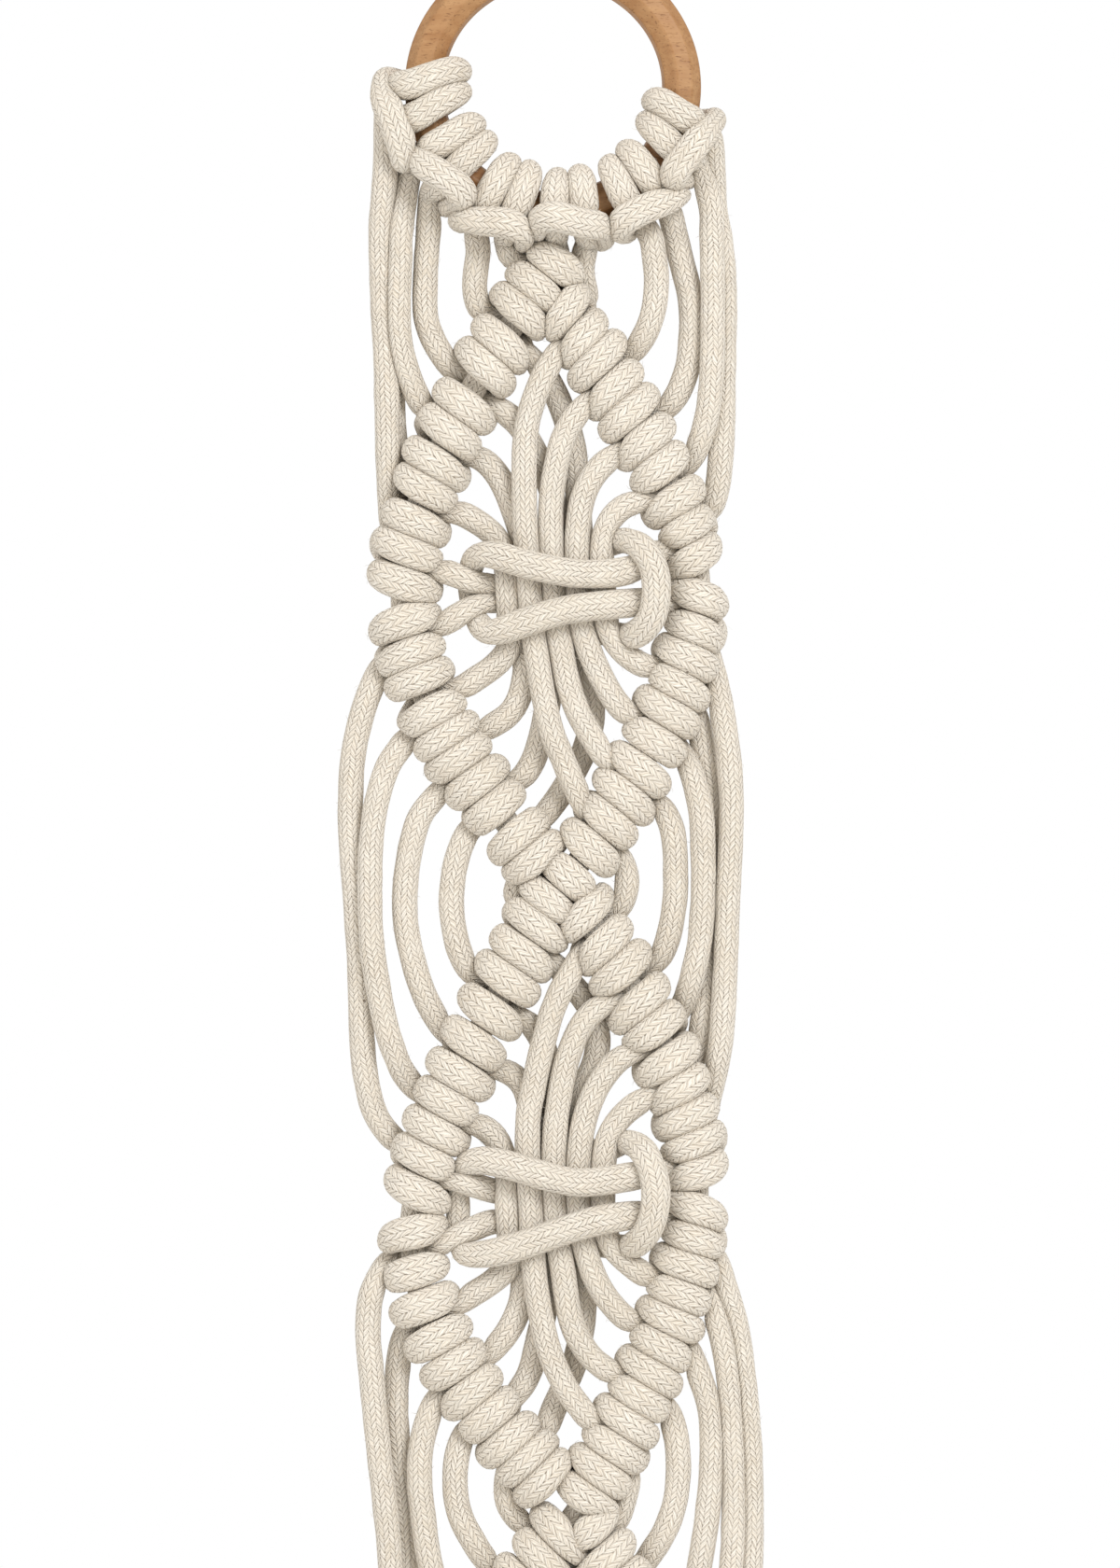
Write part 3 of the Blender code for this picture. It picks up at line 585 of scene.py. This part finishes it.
def rope_lines():
    """The six ropes, each from one end up over the ring and down to its other end."""
    lines = []
    for number, head in enumerate(HEADS, 1):
        left = rope_end(2 * number - 1)[::-1] + head_route(head, -1)
        right = head_route(head, 1)[::-1] + rope_end(2 * number)
        lines.append(relaxed(smooth(left + right), 2))
    return lines


def tassel_lines():
    """The twelve rope ends below the gathering wrap."""
    lines = []
    for count, top, bottom, turn, uneven in TASSEL_RINGS:
        middle = (top + 2 * bottom) / 3
        for k in range(count):
            azimuth = 360 * (k + turn) / count
            drop = TASSEL_BOTTOM + CUTS[len(lines) % 5] * uneven
            points = [
                around(azimuth, (top, WRAP_BOTTOM)),
                around(azimuth, (top + 0.3, WRAP_BOTTOM - 6)),
                around(azimuth, (0.55 * top + 0.45 * middle, WRAP_BOTTOM - 28), 0.6),
                around(azimuth, (middle, 0.6 * WRAP_BOTTOM + 0.4 * TASSEL_BOTTOM), -0.8),
                around(azimuth, (bottom + 0.4, 0.3 * WRAP_BOTTOM + 0.7 * TASSEL_BOTTOM), 0.5),
                around(azimuth, (bottom, drop)),
            ]
            lines.append(smooth(points))
    return lines


def gathering_line():
    """The binding rope: its turns round the gathered ropes, with both ends tucked in."""
    radius, a_turn = WRAP_RADIUS - 3, 16      # points in a turn
    drop = (WRAP_TOP - WRAP_BOTTOM - 6) / WRAP_TURNS
    points = [point(6.5, 0, WRAP_TOP + 1), point(10, 3, WRAP_TOP - 1)]
    for i in range(WRAP_TURNS * a_turn + 1):
        angle = 2 * math.pi * (i / a_turn + 0.08)
        z = WRAP_TOP - 3 - drop * i / a_turn
        points.append(point(radius * math.cos(angle), radius * math.sin(angle), z))
    angle = 2 * math.pi * (WRAP_TURNS + 0.16)
    points.append(point(10 * math.cos(angle), 10 * math.sin(angle), WRAP_BOTTOM + 3.5))
    return smooth(points)


# ---- meshes
def frames(places):
    """Unit tangents and two normals that don't twist along the line."""
    tangents = np.gradient(places, axis=0)
    tangents /= np.maximum(np.linalg.norm(tangents, axis=1), 1e-9)[:, None]
    normals = np.zeros_like(places)
    start = np.array((0, -1, 0) if abs(tangents[0][1]) < 0.9 else (1, 0, 0))
    normals[0] = unit(start - tangents[0] * start.dot(tangents[0]))
    for i in range(1, len(places)):
        normals[i] = unit(normals[i - 1] - tangents[i] * normals[i - 1].dot(tangents[i]))
    return tangents, normals, np.cross(tangents, normals)


def tube_radii(places, flats, normals, binormals, others):
    """How far the rope's skin is from its middle in each direction, pressed flat by its neighbours."""
    turns = np.arange(SIDES) / SIDES * 2 * math.pi
    ways = (normals[:, None] * np.cos(turns)[None, :, None]
            + binormals[:, None] * np.sin(turns)[None, :, None])
    wide = np.einsum("rsk,rk->rs", ways, flats)
    radii = RADIUS * (1 + WIDEN * wide * wide)
    radii += np.array([chance.gauss(0, UNEVEN) for _ in range(radii.size)]).reshape(radii.shape)
    for i, near in enumerate(others):
        away = near - places[i]
        gap = np.linalg.norm(away, axis=1)
        away, gap = away[gap > OWN_RUN], gap[gap > OWN_RUN]
        if len(gap) == 0:
            continue
        facing = ways[i] @ (away / gap[:, None]).T
        limit = np.where(facing > 0.2, 0.5 * gap[None, :] / np.maximum(facing, 0.2), 99)
        radii[i] = np.minimum(radii[i], np.maximum(limit.min(axis=1), THINNEST))
    for _ in range(2):
        padded = np.vstack([radii[:1], radii, radii[-1:]])
        radii = 0.25 * padded[:-2] + 0.5 * padded[1:-1] + 0.25 * padded[2:]
        radii = 0.2 * np.roll(radii, 1, 1) + 0.6 * radii + 0.2 * np.roll(radii, -1, 1)
    return ways, radii


def stray_fibres(places, tangents, ways, radii, count):
    """Short cotton fibres that stand off a rope, each as three stations of a thin three-sided tube."""
    fibres = []
    for _ in range(count):
        i, k = chance.randrange(2, len(places) - 2), chance.randrange(SIDES)
        out = ways[i, k]
        side = np.cross(tangents[i], out)
        turn = chance.uniform(0, 2 * math.pi)
        lie = tangents[i] * math.cos(turn) + side * math.sin(turn)
        reach, rise = chance.uniform(0.5, 1.7), chance.uniform(0.35, 1)
        start = places[i] + out * (radii[i, k] - 0.25)
        middle = start + (out * (0.3 + 0.6 * rise) + lie * (1 - 0.5 * rise)) * reach * 0.6
        end = middle + (out * (rise - 0.45) + lie) * reach * 0.7
        across = np.cross(lie, out)
        corners = (out * 0.8 + across * 0.5, -across, out * -0.8 + across * 0.5)
        stations = ((start, 0.05), (middle, 0.045), (end, 0.02))
        fibres.append([[place + corner * wide for corner in corners] for place, wide in stations])
    return fibres


def quads(here, there, sides):
    """The faces between two rings of points."""
    return [(here + k, here + n, there + n, there + k) for k, n in zip(range(sides), (*range(1, sides), 0))]


def added(name, data):
    """A new object in the scene."""
    made = bpy.data.objects.new(name, data)
    bpy.context.scene.collection.objects.link(made)
    return made


def new_piece(name, places, faces):
    """A smooth-shaded piece from places in millimetres."""
    mesh = bpy.data.meshes.new(name)
    mesh.from_pydata([tuple(place) for place in (np.array(places) + HOOK) * M], [], faces)
    mesh.polygons.foreach_set("use_smooth", [True] * len(faces))
    mesh.update()
    return added(name, mesh)


def mesh_from_rings(name, rings, lengths, caps, fibres):
    """A closed tube mesh from rings of points, with a UV map that runs around and along it."""
    verts = list(rings.reshape(-1, 3))
    faces, uvs = [], []
    for i in range(len(rings) - 1):
        faces += quads(i * SIDES, (i + 1) * SIDES, SIDES)
        for k in range(SIDES):
            a, b = k / SIDES, (k + 1) / SIDES
            uvs += [(a, lengths[i]), (b, lengths[i]), (b, lengths[i + 1]), (a, lengths[i + 1])]
    for cap, ring in zip(caps, (0, len(rings) - 1)):
        centre = len(verts)
        verts.append(cap)
        for k in range(SIDES):
            n = (k + 1) % SIDES
            first, second = ring * SIDES + k, ring * SIDES + n
            faces.append((centre, first, second) if ring else (centre, second, first))
            uvs += [(turn / SIDES, lengths[ring]) for turn in (k + 0.5, k, n)]
    for number, fibre in enumerate(fibres):
        first = len(verts)
        verts += [corner for station in fibre for corner in station]
        spot = (0.37 * number % 1, 1.9 * number % 40)
        faces += quads(first, first + 3, 3) + quads(first + 3, first + 6, 3)
        faces += [(first + 2, first + 1, first), (first + 6, first + 7, first + 8)]
        uvs += [spot] * 30
    piece = new_piece(name, verts, faces)
    layer = piece.data.uv_layers.new(name="Along")
    layer.data.foreach_set("uv", np.array(uvs, dtype=np.float32).ravel())
    return piece


def rope_mesh(name, line, others):
    """A rope's piece on its line, with its cut ends slightly rounded."""
    places, flats = line[:, :3], line[:, 3:6]
    tangents, normals, binormals = frames(places)
    ways, radii = tube_radii(places, flats, normals, binormals, others)
    radii[[0, -1]] *= END_TAPER
    rings = places[:, None] + ways * radii[:, :, None]
    lengths = np.arange(len(places)) * np.linalg.norm(places[1] - places[0])
    caps = (places[0] - tangents[0] * 0.5, places[-1] + tangents[-1] * 0.5)
    fibres = stray_fibres(places, tangents, ways, radii, int(lengths[-1] * FIBRES))
    return mesh_from_rings(name, rings, lengths, caps, fibres)


def touching_ring(place):
    """A stand-in neighbour that presses a rope flat where it lies on the wooden ring."""
    x, y, z = place - np.array([RING_X, 0, RING_Z])
    excess = RING_RADIUS / math.hypot(x, z) - 1
    off = np.array([x * excess, -y, z * excess])
    gap = np.linalg.norm(off)
    if gap > PRESS_RING:
        return []
    return [place + unit(off) * 2 * max(gap - RING_BAR / 2 * 0.97, 0.7)]


def neighbours(lines):
    """For each line, the middles of other rope runs close to each of its stations."""
    places = np.vstack([line[:, :3] for line in lines])
    owner = np.concatenate([np.full(len(line), k) for k, line in enumerate(lines)])
    index = np.concatenate([np.arange(len(line)) for line in lines])
    tree = KDTree(len(places))
    for k, place in enumerate(places):
        tree.insert(place, k)
    tree.balance()
    far = int(OWN_LENGTH / STEP)
    found = []
    for number, line in enumerate(lines):
        rows = []
        for i, place in enumerate(line[:, :3]):
            reach = PRESS_KNOT if line[i, 3:].any() else PRESS_FREE
            near = [k for _, k, _ in tree.find_range(Vector(place), reach)]
            near = [k for k in near if owner[k] != number or abs(index[k] - i) > far]
            rows.append(np.array([*places[near], *touching_ring(place)]).reshape(-1, 3))
        found.append(rows)
    return found


# ---- materials
class Nodes:
    """Short hand for building a material's node tree."""

    def __init__(self, name):
        self.material = bpy.data.materials.new(name)
        self.material.use_nodes = True
        self.tree = self.material.node_tree
        self.shader = self.tree.nodes["Principled BSDF"]

    def add(self, kind, **settings):
        node = self.tree.nodes.new(kind)
        for key, value in settings.items():
            setattr(node, key, value)
        return node

    def put(self, socket, value):
        if isinstance(value, bpy.types.NodeSocket):
            self.tree.links.new(value, socket)
        else:
            socket.default_value = (*value, 1.0) if socket.type == "RGBA" else value

    def fill(self, node, **values):
        for name, value in values.items():
            self.put(node.inputs[name.replace("_", " ")], value)

    def feed(self, node, *values):
        for socket, value in zip(node.inputs, values):
            self.put(socket, value)
        return node.outputs[0]

    def math(self, operation, a, b=0.0):
        return self.feed(self.add("ShaderNodeMath", operation=operation), a, b)

    plus, minus = partialmethod(math, "ADD"), partialmethod(math, "SUBTRACT")
    times, power = partialmethod(math, "MULTIPLY"), partialmethod(math, "POWER")

    def mix(self, share, a, b):
        """The colour a, with a share of the colour b."""
        node = self.add("ShaderNodeMix", data_type="RGBA")
        for socket, value in zip((0, 6, 7), (share, a, b)):
            self.put(node.inputs[socket], value)
        return node.outputs[2]

    def noise(self, vector, scale, detail=2.0, roughness=0.5):
        node = self.add("ShaderNodeTexNoise")
        self.fill(node, Vector=vector, Scale=scale, Detail=detail, Roughness=roughness)
        return node.outputs[0]

    def pick(self, x, y):
        """A random number for each whole x and y."""
        node = self.add("ShaderNodeTexWhiteNoise", noise_dimensions="2D")
        self.fill(node, Vector=self.vector(x, y))
        return node.outputs[0]

    def spread(self, value, low, high, new_low=0.0, new_high=1.0):
        return self.feed(self.add("ShaderNodeMapRange"), value, low, high, new_low, new_high)

    def vector(self, x, y, z=0.0):
        return self.feed(self.add("ShaderNodeCombineXYZ"), x, y, z)

    def split(self, vector):
        node = self.add("ShaderNodeSeparateXYZ")
        self.feed(node, vector)
        return node.outputs[:3]

    def place(self):
        return self.add("ShaderNodeTexCoord").outputs["Object"]

    def bump(self, height, strength, distance):
        node = self.add("ShaderNodeBump")
        self.fill(node, Strength=strength, Distance=distance, Height=height)
        self.fill(self.shader, Normal=node.outputs[0])


COLUMNS = 14.0          # columns of stitches round a rope
STITCH = 1.75           # length of a stitch along a rope, in millimetres


def cotton_material():
    """Round braided cotton: slanted stitches in columns that lean left and right by turns."""
    n = Nodes("braided_cotton")
    around_rope, along_rope, _ = n.split(n.add("ShaderNodeUVMap", uv_map="Along").outputs[0])
    place = n.place()
    # The columns, and how far across its column a spot lies.
    wander = n.minus(n.noise(place, 180.0), 0.5)
    column = n.plus(n.times(around_rope, COLUMNS), n.times(wander, 0.9))
    number = n.math("FLOOR", column)
    across = n.minus(n.math("FRACT", column), 0.5)
    parity = n.math("PINGPONG", number, 1.0)
    lean = n.minus(n.times(parity, 2.0), 1.0)
    # The stitches, stepped by half a stitch from one column to the next.
    phase = n.plus(n.times(along_rope, 1 / STITCH), n.times(n.times(across, lean), 0.95))
    phase = n.plus(phase, n.times(parity, 0.5))
    phase = n.plus(phase, n.times(wander, 1.1))
    stitch = n.math("ABSOLUTE", n.minus(n.times(n.math("FRACT", phase), 2.0), 1.0))
    border = n.times(n.math("ABSOLUTE", across), 2.0)
    bead = n.minus(1.0, n.power(stitch, 5.0))
    high = n.times(bead, n.minus(1.0, n.times(n.power(border, 5.0), 0.6)))
    strand = n.pick(number, n.math("FLOOR", phase))
    # Two yarns in each stitch.
    yarn = n.plus(n.times(phase, 2.0), n.times(n.noise(place, 900.0, 1.0), 0.5))
    single = n.pick(number, n.math("FLOOR", yarn))
    ridge = n.minus(n.times(n.math("FRACT", yarn), 2.0), 1.0)
    ridge = n.minus(1.0, n.power(n.math("ABSOLUTE", ridge), 2.0))
    fuzz = n.noise(place, 2600.0, 2.0, 0.7)
    # Noise that makes the painted shade between yarns and stitches stronger in some patches.
    shade_patches = n.noise(place, 260.0, 2.0, 0.6)
    broad = n.noise(place, 22.0)
    # Cream cotton, lighter on some strands at random, with a painted highlight on the crests of the yarns
    # and painted shade in the furrows, gaps and holes between yarns and stitches.
    cream = n.mix(n.spread(broad, 0.35, 0.65), (0.90, 0.835, 0.735), (0.82, 0.75, 0.64))
    cream = n.mix(n.times(strand, 0.45), cream, (0.94, 0.905, 0.84))
    # Painted highlight: the crests of the yarns are lighter, more so on some yarns picked at random.
    cream = n.mix(n.times(n.times(single, ridge), 0.45), cream, (0.965, 0.945, 0.89))
    # Painted shade: darker in the furrows between the yarns, more so in some patches.
    furrow_shade = n.times(n.power(n.minus(1.0, ridge), 2.0), n.spread(shade_patches, 0.3, 0.65, 0.15, 0.75))
    cream = n.mix(furrow_shade, cream, (0.54, 0.44, 0.32))
    # Painted shade: darker in the lows between the stitches.
    gap = n.times(n.power(n.minus(1.0, high), 2.0), n.spread(shade_patches, 0.3, 0.7, 0.3, 1.0))
    cream = n.mix(n.times(gap, 0.7), cream, (0.34, 0.25, 0.155))
    # Painted shade: the holes between stitches are painted almost black-brown; the same mask also sinks the
    # bump.
    hole = n.times(n.spread(stitch, 0.62, 0.85), n.spread(border, 0.62, 0.85))
    hole = n.times(hole, n.spread(strand, 0.4, 0.7))
    cream = n.mix(n.times(hole, 0.85), cream, (0.17, 0.105, 0.055))
    # Painted shade: darker in the low spots of the fine fibre bump.
    cream = n.mix(n.spread(fuzz, 0.35, 0.7, 0.22, 0.0), cream, (0.50, 0.40, 0.29))
    # Rare dark bits of seed husk.
    seeds = n.add("ShaderNodeTexVoronoi")
    n.fill(seeds, Vector=place, Scale=210.0)
    rare = n.spread(n.math("FRACT", n.times(seeds.outputs["Color"], 7.31)), 0.90, 0.93)
    speck = n.times(n.spread(seeds.outputs["Distance"], 0.05, 0.085, 1.0, 0.0), rare)
    cream = n.mix(n.times(speck, 0.8), cream, (0.10, 0.055, 0.025))
    height = n.plus(high, n.times(ridge, 0.38))
    height = n.minus(height, n.times(hole, 0.8))
    height = n.plus(height, n.times(fuzz, 0.55))
    n.bump(height, 0.8, 0.00045)
    n.fill(n.shader, Base_Color=cream, Roughness=0.92, Specular_IOR_Level=0.18, Sheen_Weight=0.25,
          Sheen_Roughness=0.6)
    return n.material


def beech_material():
    """Oiled beech, with its growth lines and its short dark pores."""
    n = Nodes("oiled_beech")
    place = n.place()
    x, y, z = n.split(place)
    bands = n.noise(n.vector(n.times(x, 60.0), n.times(y, 420.0), n.times(z, 420.0)), 1.0, 3.0, 0.6)
    pores = n.noise(n.vector(n.times(x, 500.0), n.times(y, 2600.0), n.times(z, 2600.0)), 1.0, 2.0, 0.6)
    pore = n.times(n.spread(pores, 0.28, 0.42, 1.0, 0.0), 0.8)
    broad = n.noise(place, 40.0)
    wood = n.mix(n.spread(bands, 0.3, 0.7), (0.34, 0.165, 0.062), (0.50, 0.29, 0.135))
    wood = n.mix(n.spread(broad, 0.35, 0.7, 0.0, 0.6), wood, (0.33, 0.14, 0.042))
    wood = n.mix(pore, wood, (0.15, 0.055, 0.016))
    n.bump(n.minus(bands, pore), 0.35, 0.0002)
    n.fill(n.shader, Base_Color=wood, Roughness=n.spread(bands, 0.3, 0.7, 0.42, 0.56),
          Specular_IOR_Level=0.45)
    return n.material


# ---- pieces
def dressed(piece, material, slot, *nodes):
    """Gives a piece its material and its body, and hides the CAD nodes that it stands for; the slot is not
    used.
    """
    piece.data.materials.append(material)
    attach(piece, "root")
    if nodes:
        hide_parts(*nodes)


def make_ring(material):
    """The wooden ring: its bar has eight soft flats."""
    places, faces = [], []
    for i in range(RING_STATIONS):
        angle = 2 * math.pi * i / RING_STATIONS
        across, up = math.sin(angle), -math.cos(angle)
        for k in range(RING_SIDES):
            turn = 2 * math.pi * k / RING_SIDES
            flat = (turn + FLAT_TURN) % (2 * math.pi / FLATS) - math.pi / FLATS
            reach = RING_BAR / 2 * (FLATNESS * FLAT_REACH / math.cos(flat) + 1.0 - FLATNESS)
            out, front = reach * math.cos(turn), reach * math.sin(turn)
            places.append((RING_X + across * (RING_RADIUS + out), -front,
                           RING_Z - RING_LOW + up * (RING_RADIUS - RING_LOW + out)))
        faces += quads(i * RING_SIDES, (i + 1) % RING_STATIONS * RING_SIDES, RING_SIDES)
    dressed(new_piece("wooden_ring", places, faces), material, "beech", "ring")


# ---- camera and light
def make_camera():
    """A camera straight in front of the hanger."""
    data = bpy.data.cameras.new("camera")
    camera = added("camera", data)
    data.sensor_width = SENSOR
    data.lens = SENSOR * -CAMERA[1] / FRAME_WIDTH
    data.clip_start, data.clip_end = 0.1, 50.0
    camera.location = CAMERA
    camera.rotation_euler = (math.pi / 2, 0.0, 0.0)
    bpy.context.scene.camera = camera


def area_light(name, place, aim, size, power, colour=(1.0, 1.0, 1.0)):
    """A round soft light at a place, turned to what it lights."""
    data = bpy.data.lights.new(name, "AREA")
    data.shape = "DISK"
    data.size = size
    data.energy = power
    data.color = colour
    light = added(name, data)
    light.location = place
    light.rotation_euler = (Vector(aim) - Vector(place)).to_track_quat("-Z", "Y").to_euler()


def make_floor():
    """A plain pale floor below the tassel."""
    count = 96
    turns = [2 * math.pi * k / count for k in range(count)]
    rim = [(FLOOR_RADIUS * math.cos(turn), FLOOR_RADIUS * math.sin(turn), FLOOR_Z) for turn in turns]
    mesh = bpy.data.meshes.new("floor")
    mesh.from_pydata(rim, [], [tuple(range(count))])
    floor = added("floor", mesh)
    n = Nodes("floor")
    n.fill(n.shader, Base_Color=(0.92, 0.92, 0.91), Roughness=0.9)
    mesh.materials.append(n.material)


def make_light():
    """A studio that lights warmly from all sides and is seen as plain white, and two soft lights."""
    world = bpy.data.worlds.new("studio")
    world.use_nodes = True
    nodes, links = world.node_tree.nodes, world.node_tree.links
    lit, seen = nodes["Background"], nodes.new("ShaderNodeBackground")
    for node, colour, strength in ((lit, (1.0, 0.965, 0.91, 1.0), 0.76), (seen, (1.0, 1.0, 1.0, 1.0), 1.0)):
        node.inputs[0].default_value = colour
        node.inputs[1].default_value = strength
    both = nodes.new("ShaderNodeMixShader")
    links.new(nodes.new("ShaderNodeLightPath").outputs["Is Camera Ray"], both.inputs[0])
    links.new(lit.outputs[0], both.inputs[1])
    links.new(seen.outputs[0], both.inputs[2])
    links.new(both.outputs[0], nodes["World Output"].inputs["Surface"])
    bpy.context.scene.world = world
    area_light("key", (1.0, -1.9, 1.0), (0.0, 0.0, -0.35), 1.0, 31.0, (0.98, 0.99, 1.0))
    area_light("fill", (-1.6, -1.5, 0.3), (0.0, 0.0, -0.4), 1.4, 10.0)
    bpy.context.scene.view_settings.view_transform = "Standard"


# ---- build
# The CAD nodes that each rope stands for. The ropes share the net and the knots between them.
STANDS_FOR = (
    ("larks_head_1", "arm_left", "arm_knot_left"),
    ("larks_head_2", "gather_left", "basket_knot_left"),
    ("larks_head_3", "arm_front", "arm_knot_front"),
    ("larks_head_4", "net"),
    ("larks_head_5", "gather_front", "basket_knot_front", "arm_knot_right"),
    ("larks_head_6", "arm_right", "gather_right", "basket_knot_right"),
)


def make_tassel_end(name, line, near, material, *nodes):
    """A rope end below the wrap, as a cord that hangs free."""
    piece = rope_mesh(name, line, near)
    dressed(piece, material, "cotton_rope", *nodes)


def main():
    make_camera()
    make_floor()
    make_light()
    cotton, beech = cotton_material(), beech_material()
    ropes, ends, binding = rope_lines(), tassel_lines(), gathering_line()
    near = neighbours([*ropes, binding, *ends])
    for number, line in enumerate(ropes):
        piece = rope_mesh(f"rope_{number + 1}", line, near[number])
        dressed(piece, cotton, "cotton_rope", *STANDS_FOR[number])
    wrap = rope_mesh("binding_rope", binding, near[len(ropes)])
    dressed(wrap, cotton, "cotton_rope", "gathering_wrap")
    for number, line in enumerate(ends, 1):
        nodes = ("tassel",) if number == 1 else ()
        make_tassel_end(f"tassel_end_{number}", line, near[len(ropes) + number], cotton, *nodes)
    make_ring(beech)


main()
